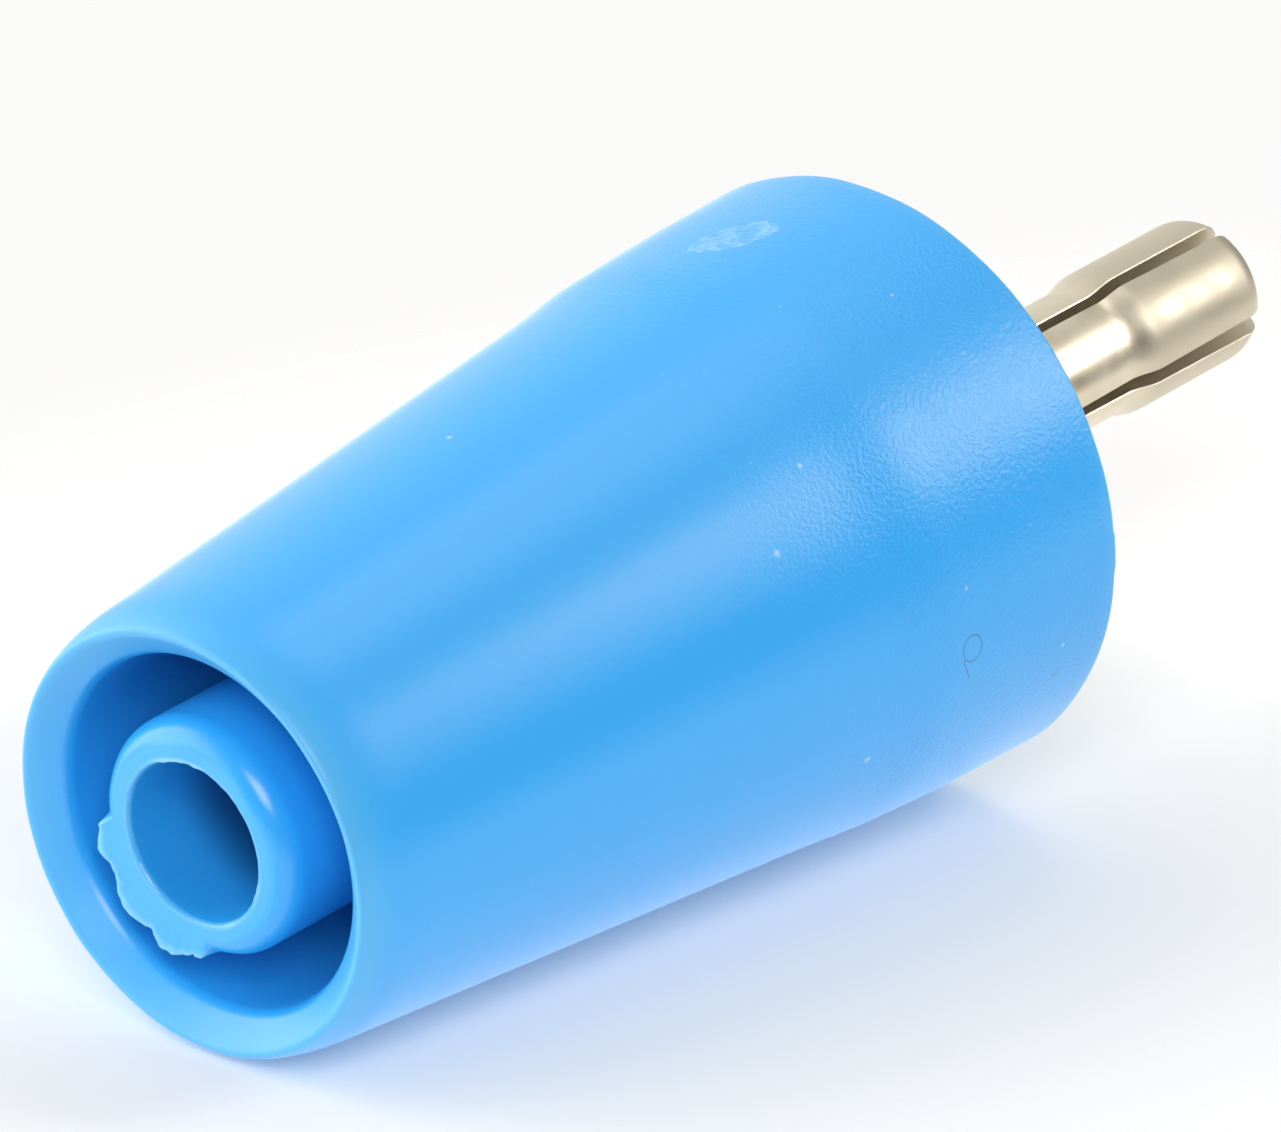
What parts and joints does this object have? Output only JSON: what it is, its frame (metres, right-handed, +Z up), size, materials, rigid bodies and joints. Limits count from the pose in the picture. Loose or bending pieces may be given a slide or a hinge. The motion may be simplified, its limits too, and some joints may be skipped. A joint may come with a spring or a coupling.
{
  "type": "safety banana adapter",
  "caption": "Plug adapter: a shrouded 4 mm safety socket in the narrow end of a tapered insulating body, with a bare cross-slotted 4 mm spring pin standing out of the wide end.",
  "frame": {"origin": "centre of the socket rim, on the surface that the adapter stands on", "axes": "+Z up along the adapter's own axis, from the socket rim to the tip of the plug pin; one slot of the pin is turned 14 degrees from +X towards +Y"},
  "size_m": [0.0174, 0.0174, 0.0428],
  "materials": {
    "blue_plastic": "satin moulded, fine orange-peel grain, slightly translucent at thin edges",
    "nickel_plate": "turned brass with bright, slightly warm nickel plating"
  },
  "bodies": {
    "root": {"insulating_body": "blue_plastic", "socket_bush": "nickel_plate", "plug_pin": "nickel_plate"}
  },
  "joints": []
}
